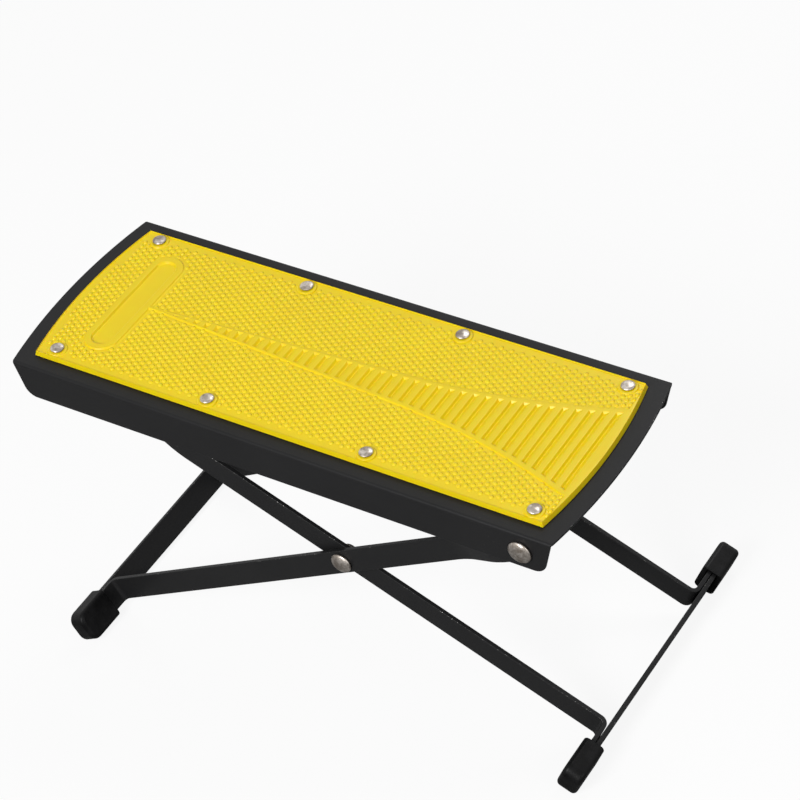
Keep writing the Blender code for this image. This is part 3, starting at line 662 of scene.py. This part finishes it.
def bulged_face(length, width, bulge, height):
    """A flat face at a height: a long rectangle whose ends bulge as arcs."""
    bm = bmesh.new()
    radius = arc_radius(width, bulge)
    half_sweep = math.asin(width / 2 / radius)
    centre = length / 2 - radius
    first = bm.verts.new((centre + radius * math.cos(half_sweep), -width / 2, height))
    bmesh.ops.spin(
        bm,
        geom=[first],
        cent=(centre, 0, height),
        axis=(0, 0, 1),
        angle=2 * half_sweep,
        steps=END_ARC_STEPS,
    )
    bmesh.ops.mirror(bm, geom=bm.verts[:] + bm.edges[:], axis="X", merge_dist=0)
    for y in (-width / 2, width / 2):
        bm.edges.new([v for v in bm.verts if math.isclose(v.co.y, y, abs_tol=SAME_PLACE)])
    bmesh.ops.contextual_create(bm, geom=bm.edges[:])
    return bm


def turned(profile, sides):
    """A solid turned about Z from (radius, height) points whose ends lie on the axis or meet."""
    bm = bmesh.new()
    points = [bm.verts.new((radius, 0, height)) for radius, height in profile]
    edges = [bm.edges.new(pair) for pair in zip(points, points[1:])]
    bmesh.ops.spin(
        bm,
        geom=points + edges,
        cent=(0, 0, 0),
        axis=(0, 0, 1),
        angle=2 * math.pi,
        steps=sides,
        use_merge=True,
    )
    bmesh.ops.remove_doubles(bm, verts=bm.verts, dist=MERGE_DISTANCE)
    return bm


def dome(radius, base, height):
    """Profile of a domed head, from its crown to its rim, with a rolled edge."""
    edge = height * DOME_EDGE_SHARE
    rise = height - edge
    angles = [math.pi / 2 * i / DOME_STEPS for i in range(DOME_STEPS + 1)]
    crown = [(radius * math.sin(a), base + edge + rise * math.cos(a)) for a in angles]
    return crown + [(radius - edge * DOME_UNDERCUT_SHARE, base)]


def rivet(head_radius, head_height, shank_radius, tail_radius, tail_height, grip, sides):
    """A rivet with its head over height 0 and its tail under -grip."""
    head_base = GAP
    tail_top = -grip - GAP
    profile = dome(head_radius, head_base, head_height) + [
        (shank_radius, head_base),
        (shank_radius, tail_top),
        (tail_radius, tail_top),
        (tail_radius, tail_top - tail_height),
        (0, tail_top - tail_height),
    ]
    return turned(profile, sides)


def on_side(side, spot):
    """Turns +Z to face out of the near or far side, at a spot of a local frame."""
    return Matrix.Translation(spot) @ Matrix.Rotation(-side * math.pi / 2, 4, "X")


# Platform


def make_plate():
    """The channel: a flat sheet with folded flanges."""
    bm = bulged_face(PLATE_LENGTH, PLATE_WIDTH, PLATE_END_BULGE, 0)
    long_edges = [e for e in bm.edges if e.calc_length() > PLATE_LENGTH / 2]
    low_corners = new_verts(bmesh.ops.extrude_edge_only(bm, edges=long_edges))
    for corner in low_corners:
        corner.co.x -= math.copysign(FLANGE_END_TAPER, corner.co.x)
        corner.co.z -= FLANGE_DEPTH
    bevel(bm, low_corners, FLANGE_CORNER_RADIUS, BEND_STEPS, "VERTICES")
    folds = [e for e in bm.edges if e.is_manifold and e.calc_length() > PLATE_LENGTH / 2]
    bevel(bm, folds, FLANGE_BEND_RADIUS, BEND_STEPS)
    bmesh.ops.recalc_face_normals(bm, faces=bm.faces)
    top = max(bm.faces, key=lambda face: face.calc_area())
    if top.normal.z < 0:
        bmesh.ops.reverse_faces(bm, faces=bm.faces)
    bm = with_modifier(bm, "SOLIDIFY", thickness=PLATE_SHEET, offset=-1, use_even_offset=True)
    round_edges(bm, STEEL_EDGE_RADIUS)
    finish_piece("channel", bm, "platform", "powder_coated_steel", ["top_plate"], platform_space)


def pad_rivet_places():
    """Positions of the pad rivets, near row first, each row from the free end."""
    first = PAD_RIVET_FREE_END_INSET - pad_length / 2
    last = pad_length / 2 - PAD_RIVET_PIVOT_END_INSET
    spacing = (last - first) / (PAD_RIVETS_PER_ROW - 1)
    row = [first + spacing * i for i in range(PAD_RIVETS_PER_ROW)]
    row_gauge = pad_width / 2 - PAD_RIVET_SIDE_INSET
    return [(x, side * row_gauge) for _, side in SIDES for x in row]


def horn_half_width(place):
    """Half the horn panel's width: straight from its tip, with a flare towards the pivot end."""
    share = (place - horn_tip_place) / (flute_first_place - horn_tip_place)
    flare_share = max(0, (share - HORN_FLARE_START_SHARE) / (1 - HORN_FLARE_START_SHARE))
    return HORN_STRAIGHT_HALF_WIDTH * share + HORN_FLARE_HALF_WIDTH * flare_share**2


def flute_half_length(place):
    """Half the length of a flute that leaves a border inside the horn's outline."""
    half = horn_half_width(place - FLUTE_WIDTH)
    return half - min(FLUTE_END_MARGIN, FLUTE_MARGIN_SHARE * half)


def flute_places():
    """The middles of the flutes, from the pivot end, as far as the horn is wide enough."""
    places = []
    place = flute_first_place
    while flute_half_length(place) > FLUTE_SHORTEST:
        places.append(place)
        place -= FLUTE_PITCH
    return places


def field_tool():
    """The volume over the pad's sunken field, which is straight at the pivot end."""
    bm = bulged_face(pad_length, pad_width, PAD_END_BULGE, pad_field)
    ring = bmesh.ops.inset_region(
        bm, faces=bm.faces[:], thickness=PAD_RIM_WIDTH, use_even_offset=True
    )
    bmesh.ops.delete(bm, geom=ring["faces"], context="FACES")
    bmesh.ops.bisect_plane(
        bm,
        geom=bm.verts[:] + bm.edges[:] + bm.faces[:],
        plane_co=(pad_field_end, 0, 0),
        plane_no=(1, 0, 0),
        clear_outer=True,
    )
    raise_faces(bm, bm.faces[:], PAD_RELIEF + OVERRUN)
    return bm


def horn_tool():
    """The fluted panel's outline as a prism through the field, made from a grid one unit wide."""
    bm = bmesh.new()
    bmesh.ops.create_grid(bm, x_segments=HORN_STEPS, y_segments=1, size=0.5)
    start = horn_tip_place - BADGE_BORDER / 2
    length = pad_length / 2 - PAD_RIM_WIDTH / 2 - start
    height = PAD_RELIEF + 2 * GAP
    lean = RAISED_WALL_LEAN * height
    for vert in bm.verts:
        place = start + length * (vert.co.x + 0.5)
        half = max(horn_half_width(place), HORN_TIP_HALF_WIDTH) + lean
        vert.co = (place, 2 * vert.co.y * half, pad_field - GAP)
    bmesh.ops.dissolve_limit(bm, angle_limit=STRAIGHT_ANGLE, verts=bm.verts[:], edges=bm.edges[:])
    for vert in raise_faces(bm, bm.faces[:], height):
        vert.co.y -= math.copysign(lean, vert.co.y)
    return bm


def add_drum(bm, radius, lean, low, high, place):
    """Adds an upright drum, whose radius is for the pad's top and grows by lean per unit down."""
    made = bmesh.ops.create_cone(
        bm,
        cap_ends=True,
        segments=SMALL_ROUND_SIDES,
        radius1=radius + lean * (pad_top - low),
        radius2=radius + lean * (pad_top - high),
        depth=high - low,
        matrix=Matrix.Translation((*place, (low + high) / 2)),
    )
    return made["verts"]


def add_stadium(bm, length, width, lean, low, high):
    """Adds a slot-shaped prism across the pad at the badge's place."""
    for vert in add_drum(bm, width / 2, lean, low, high, (badge_place, 0)):
        if abs(vert.co.y) > SAME_PLACE:
            vert.co.y += math.copysign((length - width) / 2, vert.co.y)


def add_flute(bm, place):
    """Adds the wedge that cuts one flute: deepest towards the free end, with leaning walls."""
    depth = min(FLUTE_DEPTH, flute_half_length(place))
    for vert in bmesh.ops.create_cube(bm, size=1)["verts"]:
        deep = vert.co.x < 0
        rise = GAP if vert.co.z > 0 else -depth * (1 if deep else FLUTE_SHALLOW_SHARE)
        lean = FLUTE_WALL_LEAN * rise
        x = place + FLUTE_WIDTH * vert.co.x
        half = flute_half_length(x) + lean
        vert.co = (x - lean if deep else x, 2 * vert.co.y * half, pad_top + rise)


def pad_block():
    """The pad's outer form, with walls that lean in by the draft."""
    length, width = pad_length + 2 * PAD_DRAFT, pad_width + 2 * PAD_DRAFT
    bm = bulged_face(length, width, PAD_END_BULGE, GAP)
    upper = raise_faces(bm, bm.faces[:], PAD_THICKNESS)
    bmesh.ops.scale(bm, verts=upper, vec=(pad_length / length, pad_width / width, 1))
    return bm


def standing_tool():
    """The badge, and the bosses round the rivets, as prisms through the field."""
    bm = bmesh.new()
    low, high = pad_field - GAP, pad_top + GAP
    add_stadium(bm, BADGE_LENGTH, BADGE_WIDTH, RAISED_WALL_LEAN, low, high)
    for place in pad_rivet_places():
        add_drum(bm, PAD_BOSS_RADIUS, RAISED_WALL_LEAN, low, high, place)
    return bm


def hollows_tool():
    """What is sunk into the badge and into the horn."""
    bm = bmesh.new()
    inside = BADGE_LENGTH - 2 * BADGE_BORDER, BADGE_WIDTH - 2 * BADGE_BORDER
    add_stadium(bm, *inside, -RAISED_WALL_LEAN, pad_top - BADGE_DEPTH, pad_top + GAP)
    for place in flute_places():
        add_flute(bm, place)
    return bm


def make_pad():
    """The pad: its sunken field, and the rim, badge, fluted horn and bosses that stand in it."""
    field = cut(cut(field_tool(), horn_tool()), standing_tool())
    bm = cut(cut(pad_block(), field), hollows_tool())
    bmesh.ops.remove_doubles(bm, verts=bm.verts, dist=PAD_EDGE_RADIUS)
    bmesh.ops.triangulate(bm, faces=[f for f in bm.faces if len(f.verts) > 4])
    round_edges(bm, PAD_EDGE_RADIUS, PAD_EDGE_STEPS)
    finish_piece("moulded_pad", bm, "platform", "yellow_rubber", ["rubber_pad"], platform_space)


def dot_fits(x, y):
    """Whether a dot at x, y lies on the pad's field, clear of all that stands up from it."""
    reach = DOT_RADIUS * DOT_CLEARANCE_SHARE
    end_radius = arc_radius(pad_width, PAD_END_BULGE)
    badge_half_run = (BADGE_LENGTH - BADGE_WIDTH) / 2
    badge_distance = math.hypot(x - badge_place, max(0, abs(y) - badge_half_run))
    boss_distance = min(math.hypot(x - a, y - b) for a, b in pad_rivet_places())
    on_horn = x > horn_tip_place - reach and abs(y) < horn_half_width(x) + reach
    return (
        abs(y) < pad_width / 2 - PAD_RIM_WIDTH - reach
        and math.hypot(x - end_radius + pad_length / 2, y) < end_radius - PAD_RIM_WIDTH - reach
        and x < pad_field_end - reach
        and badge_distance > BADGE_WIDTH / 2 + reach
        and boss_distance > PAD_BOSS_RADIUS + reach
        and not on_horn
    )


def dot_places():
    """Places of the field's dots, in staggered columns across the pad."""
    first = DOT_FIRST_COLUMN_INSET - pad_length / 2
    half_rows = int(pad_width / 2 / DOT_ROW_PITCH) + 1
    places = []
    for column in range(int(pad_length / DOT_COLUMN_PITCH)):
        x = first + column * DOT_COLUMN_PITCH
        stagger = DOT_ROW_PITCH / 2 * (column % 2)
        rows = [row * DOT_ROW_PITCH + stagger for row in range(-half_rows, half_rows + 1)]
        places += [Vector((x, y, pad_field)) for y in rows if dot_fits(x, y)]
    return places


def make_dots():
    """The field's grip: small domes, each made by moving one dome on to the next place."""
    dot = bmesh.new()
    flat = Matrix.Diagonal((DOT_RADIUS, DOT_RADIUS, DOT_HEIGHT, 1))
    bmesh.ops.create_uvsphere(
        dot, u_segments=DOT_SIDES, v_segments=DOT_RINGS, radius=1, matrix=flat
    )
    low_half = [v for v in dot.verts if v.co.z < -SAME_PLACE]
    bmesh.ops.delete(dot, geom=low_half, context="VERTS")
    bmesh.ops.contextual_create(dot, geom=[e for e in dot.edges if e.is_boundary])
    dot_mesh = bpy.data.meshes.new("dot")
    bm = bmesh.new()
    last = Vector()
    for place in dot_places():
        bmesh.ops.translate(dot, verts=dot.verts, vec=place - last)
        last = place
        dot.to_mesh(dot_mesh)
        bm.from_mesh(dot_mesh)
    dot.free()
    bpy.data.meshes.remove(dot_mesh)
    finish_piece("grip_dots", bm, "platform", "yellow_rubber", (), platform_space)


def make_pad_rivets():
    """The domed rivets that hold the pad on the channel."""
    grip = GAP + PAD_THICKNESS + PLATE_SHEET
    for number, place in enumerate(pad_rivet_places(), 1):
        bm = rivet(
            PAD_RIVET_HEAD_RADIUS,
            PAD_RIVET_HEAD_HEIGHT,
            PAD_RIVET_SHANK_RADIUS,
            PAD_RIVET_TAIL_RADIUS,
            PAD_RIVET_TAIL_HEIGHT,
            grip,
            SMALL_ROUND_SIDES,
        )
        finish_piece(
            f"pad_rivet_head_{number}",
            bm,
            "platform",
            "nickel_plated_steel",
            [f"pad_rivet_{number}"],
            platform_space @ Matrix.Translation((*place, pad_top)),
        )


def make_rails():
    """The notched rails, as the CAD has them, with their edges rounded."""
    for name, _ in SIDES:
        node = f"notched_rail_{name}"
        bm = bmesh.new()
        bm.from_mesh(frame["nodes"][node].data)
        bmesh.ops.remove_doubles(bm, verts=bm.verts, dist=MERGE_DISTANCE)
        bmesh.ops.dissolve_limit(bm, angle_limit=FLAT_ANGLE, verts=bm.verts[:], edges=bm.edges[:])
        round_edges(bm, STEEL_EDGE_RADIUS)
        finish_piece(f"rail_{name}", bm, "platform", "powder_coated_steel", [node])


# Stand


def bar(path, folds, side):
    """A flat bar along path, rounded at its first end, with folds of (x, offset) rounded off."""
    bm = bmesh.new()
    verts = [bm.verts.new((x, side * y, -bar_half_width)) for x, y in path]
    edges = [bm.edges.new(pair) for pair in zip(verts, verts[1:])]
    upper = new_verts(bmesh.ops.extrude_edge_only(bm, edges=edges))
    bmesh.ops.translate(bm, verts=upper, vec=(0, 0, STRIP_WIDTH))
    for x, offset in folds:
        upright = [e for e in bm.edges if e.is_manifold and lies_at(e, "x", x)]
        bevel(bm, upright, offset, BEND_STEPS)
    tip = path[0][0]
    corners = [v for v in bm.verts if math.isclose(v.co.x, tip, abs_tol=SAME_PLACE)]
    bevel(bm, corners, bar_half_width, 2 * BEND_STEPS, "VERTICES")
    bmesh.ops.remove_doubles(bm, verts=bm.verts, dist=SAME_PLACE)
    bmesh.ops.recalc_face_normals(bm, faces=bm.faces)
    bm = with_modifier(bm, "SOLIDIFY", thickness=STRIP_THICKNESS, offset=0, use_even_offset=True)
    return round_edges(bm, STEEL_EDGE_RADIUS)


def make_arms(kind, body, hole, tab, gauges, joggle_start, space):
    """Both bars of a frame: stepped in or out after the hole, and bent outwards at the foot."""
    run_gauge, end_gauge = gauges
    inwards = -1 if hole > tab else 1
    fold_offset = JOGGLE_LENGTH * JOGGLE_FOLD_SHARE
    tip = hole - inwards * bar_half_width
    first_fold = hole + inwards * (joggle_start + fold_offset)
    second_fold = hole + inwards * (joggle_start + JOGGLE_LENGTH - fold_offset)
    path = [
        (tip, end_gauge),
        (first_fold, end_gauge),
        (second_fold, run_gauge),
        (tab, run_gauge),
        (tab, tab_reach),
    ]
    folds = [(first_fold, fold_offset), (second_fold, fold_offset), (tab, STRIP_BEND_RADIUS)]
    for name, side in SIDES:
        finish_piece(
            f"{kind}_bar_{name}",
            bar(path, folds, side),
            body,
            "powder_coated_steel",
            [f"{kind}_arm_{name}"],
            space,
        )


def make_foot_bar(kind, body, place, space):
    """The flat bar between a frame's feet."""
    bm = block((STRIP_THICKNESS, 2 * tab_reach, STRIP_WIDTH), (place, 0, 0))
    round_edges(bm, STEEL_EDGE_RADIUS)
    finish_piece(
        f"{kind}_cross_bar", bm, body, "powder_coated_steel", [f"{kind}_foot_bar"], space
    )


def foot(side):
    """A rubber sleeve about the origin: a soft block with a slot in its mouth."""
    bm = block((FOOT_THICKNESS, FOOT_LENGTH, FOOT_HEIGHT))
    mouth_place = -side * FOOT_LENGTH / 2
    end_edges = [e for e in bm.edges if lies_at(e, "y", -mouth_place)]
    across = [e for e in end_edges if lies_at(e, "z", e.verts[0].co.z)]
    bevel(bm, across, FOOT_END_RADIUS, BEND_STEPS)
    mouth_edges = {e for f in bm.faces if lies_at(f, "y", mouth_place) for e in f.edges}
    soft = [e for e in bm.edges if e not in mouth_edges and e.calc_face_angle() > EDGE_ANGLE]
    bevel(bm, soft, FOOT_EDGE_RADIUS, BEND_STEPS)
    # The slot holds a cross bar and a tab, with a gap beside each and between them
    slot_thickness = GAP + 2 * (STRIP_THICKNESS + GAP)
    slot_end = side * (FOOT_LENGTH / 2 - FOOT_END_WALL)
    slot = block(
        (slot_thickness, FOOT_LENGTH, STRIP_WIDTH + 2 * GAP),
        (0, slot_end - side * FOOT_LENGTH / 2, 0),
    )
    bm = cut(bm, slot)
    rim = [e for e in bm.edges if lies_at(e, "y", mouth_place)]
    bevel(bm, rim, FOOT_MOUTH_EDGE_RADIUS, EDGE_STEPS)
    return bm


def make_feet(kind, body, place, space):
    """The rubber sleeves at both ends of a frame's foot."""
    for name, side in SIDES:
        spot = Matrix.Translation((place, side * (foot_mouth + FOOT_LENGTH / 2), 0))
        finish_piece(
            f"{kind}_sleeve_{name}",
            foot(side),
            body,
            "black_rubber",
            [f"{kind}_foot_{name}"],
            space @ spot,
        )


def washer(side, outer_face):
    """A washer whose outer face is at a distance from the middle."""
    profile = [
        (RIVET_SHANK_RADIUS + GAP, 0),
        (WASHER_RADIUS, 0),
        (WASHER_RADIUS, -WASHER_THICKNESS),
        (RIVET_SHANK_RADIUS + GAP, -WASHER_THICKNESS),
    ]
    bm = turned(profile + profile[:1], ROUND_SIDES)
    round_edges(bm, WASHER_EDGE_RADIUS)
    bm.transform(on_side(side, (0, side * outer_face, 0)))
    return bm


def make_side_rivets(kind, body, outer_face, inner_face, head, space):
    """A rivet and washer on each side. The faces that they clamp are distances from the middle."""
    grip = outer_face - inner_face + GAP + WASHER_THICKNESS
    tail = (RIVET_TAIL_RADIUS, RIVET_TAIL_HEIGHT)
    slot = "nickel_plated_steel"
    for name, side in SIDES:
        bm = rivet(*head, RIVET_SHANK_RADIUS, *tail, grip, ROUND_SIDES)
        bm.transform(on_side(side, (0, side * outer_face, 0)))
        finish_piece(f"{kind}_rivet_head_{name}", bm, body, slot, [f"{kind}_rivet_{name}"], space)
        ring = washer(side, inner_face - GAP)
        finish_piece(f"{kind}_ring_{name}", ring, body, slot, [f"{kind}_washer_{name}"], space)


def make_spacers():
    """The rings that keep the crossing bars apart."""
    outer_face = outer_run_gauge - STRIP_THICKNESS / 2 - GAP
    for name, side in SIDES:
        finish_piece(
            f"spacer_{name}",
            washer(side, outer_face),
            "outer_frame",
            "nickel_plated_steel",
            [f"scissor_spacer_{name}"],
            outer_space,
        )


def make_rod():
    """The rod between the inner arms, with a riveted head outside each."""
    shoulder = inner_end_gauge - STRIP_THICKNESS / 2 - GAP
    head_base = inner_end_gauge + STRIP_THICKNESS / 2 + GAP
    half = dome(ROD_HEAD_RADIUS, head_base, ROD_HEAD_HEIGHT)
    half += [(ROD_TENON_RADIUS, head_base), (ROD_TENON_RADIUS, shoulder), (ROD_RADIUS, shoulder)]
    other_half = [(radius, -height) for radius, height in reversed(half)]
    bm = turned(half + other_half, SMALL_ROUND_SIDES)
    bm.transform(on_side(1, (-SCISSOR_TO_ROD, 0, 0)))
    finish_piece("rod", bm, "inner_frame", "powder_coated_steel", ["height_rod"], inner_space)


# Floor, surround, lamps and camera


def make_floor():
    """A plain floor under the object."""
    bm = bmesh.new()
    bmesh.ops.create_grid(bm, x_segments=1, y_segments=1, size=FLOOR_HALF_SIDE)
    mesh = bpy.data.meshes.new("floor")
    bm.to_mesh(mesh)
    bm.free()
    mesh.materials.append(studio_paper())
    floor = bpy.data.objects.new("floor", mesh)
    bpy.context.scene.collection.objects.link(floor)


def make_world():
    """An even white surround, at full white to the camera and in reflections."""
    world = bpy.data.worlds.new("studio")
    world.use_nodes = True
    tree = world.node_tree
    direct, glossy, through = [
        add_node(tree, "ShaderNodeLightPath", output=f"Is {kind} Ray")
        for kind in ("Camera", "Glossy", "Transmission")
    ]
    shown = direct.calculate("ADD", direct + glossy, through, clamp=True)
    surround = tree.nodes["Background"]
    feed(tree, surround.inputs["Color"], WORLD_COLOUR)
    feed(tree, surround.inputs["Strength"], WORLD_STRENGTH + shown * (1 - WORLD_STRENGTH))
    bpy.context.scene.world = world


def make_light(name, spot, size, power):
    """A soft round lamp that faces the object."""
    lamp = bpy.data.lights.new(name, "AREA")
    lamp.shape = "DISK"
    lamp.size = size
    lamp.energy = power
    light = bpy.data.objects.new(name, lamp)
    light.location = spot
    light.rotation_euler = (LAMP_TARGET - Vector(spot)).to_track_quat("-Z", "Y").to_euler()
    bpy.context.scene.collection.objects.link(light)


def make_camera():
    """The camera at the photo's viewing angle."""
    data = bpy.data.cameras.new("camera")
    data.lens = CAMERA_LENS
    data.sensor_width = CAMERA_SENSOR
    data.shift_x, data.shift_y = CAMERA_SHIFT
    camera = bpy.data.objects.new("camera", data)
    back = -CAMERA_DIRECTION.normalized()
    right = CAMERA_UP.cross(back).normalized()
    turn = Matrix((right, back.cross(right), back)).transposed()
    camera.matrix_world = Matrix.Translation(CAMERA_SPOT) @ turn.to_4x4()
    bpy.context.scene.collection.objects.link(camera)
    bpy.context.scene.camera = camera


make_camera()
make_plate()
make_pad()
make_dots()
make_pad_rivets()
make_rails()

make_arms(
    "outer",
    "outer_frame",
    PIVOT_TO_SCISSOR,
    foot_pair_offset - SCISSOR_TO_OUTER_FOOT,
    (outer_run_gauge, outer_end_gauge),
    OUTER_JOGGLE_START,
    outer_space,
)
make_foot_bar("outer", "outer_frame", -SCISSOR_TO_OUTER_FOOT - foot_pair_offset, outer_space)
make_feet("outer", "outer_frame", -SCISSOR_TO_OUTER_FOOT, outer_space)

make_arms(
    "inner",
    "inner_frame",
    -SCISSOR_TO_ROD,
    SCISSOR_TO_INNER_FOOT - foot_pair_offset,
    (inner_run_gauge, inner_end_gauge),
    INNER_JOGGLE_START,
    inner_space,
)
make_foot_bar("inner", "inner_frame", SCISSOR_TO_INNER_FOOT + foot_pair_offset, inner_space)
make_feet("inner", "inner_frame", SCISSOR_TO_INNER_FOOT, inner_space)
make_rod()

make_side_rivets(
    "pivot",
    "platform_pivots",
    PLATE_WIDTH / 2,
    outer_end_gauge - STRIP_THICKNESS / 2,
    (PIVOT_RIVET_HEAD_RADIUS, PIVOT_RIVET_HEAD_HEIGHT),
    pivot_space,
)
make_side_rivets(
    "scissor",
    "outer_frame",
    outer_run_gauge + STRIP_THICKNESS / 2,
    inner_run_gauge - STRIP_THICKNESS / 2,
    (SCISSOR_RIVET_HEAD_RADIUS, SCISSOR_RIVET_HEAD_HEIGHT),
    outer_space,
)
make_spacers()

make_floor()
make_world()
make_light("key", KEY_SPOT, KEY_SIZE, KEY_POWER)
make_light("fill", FILL_SPOT, FILL_SIZE, FILL_POWER)
make_light("back", BACK_SPOT, BACK_SIZE, BACK_POWER)

bpy.context.scene.view_settings.view_transform = "Standard"
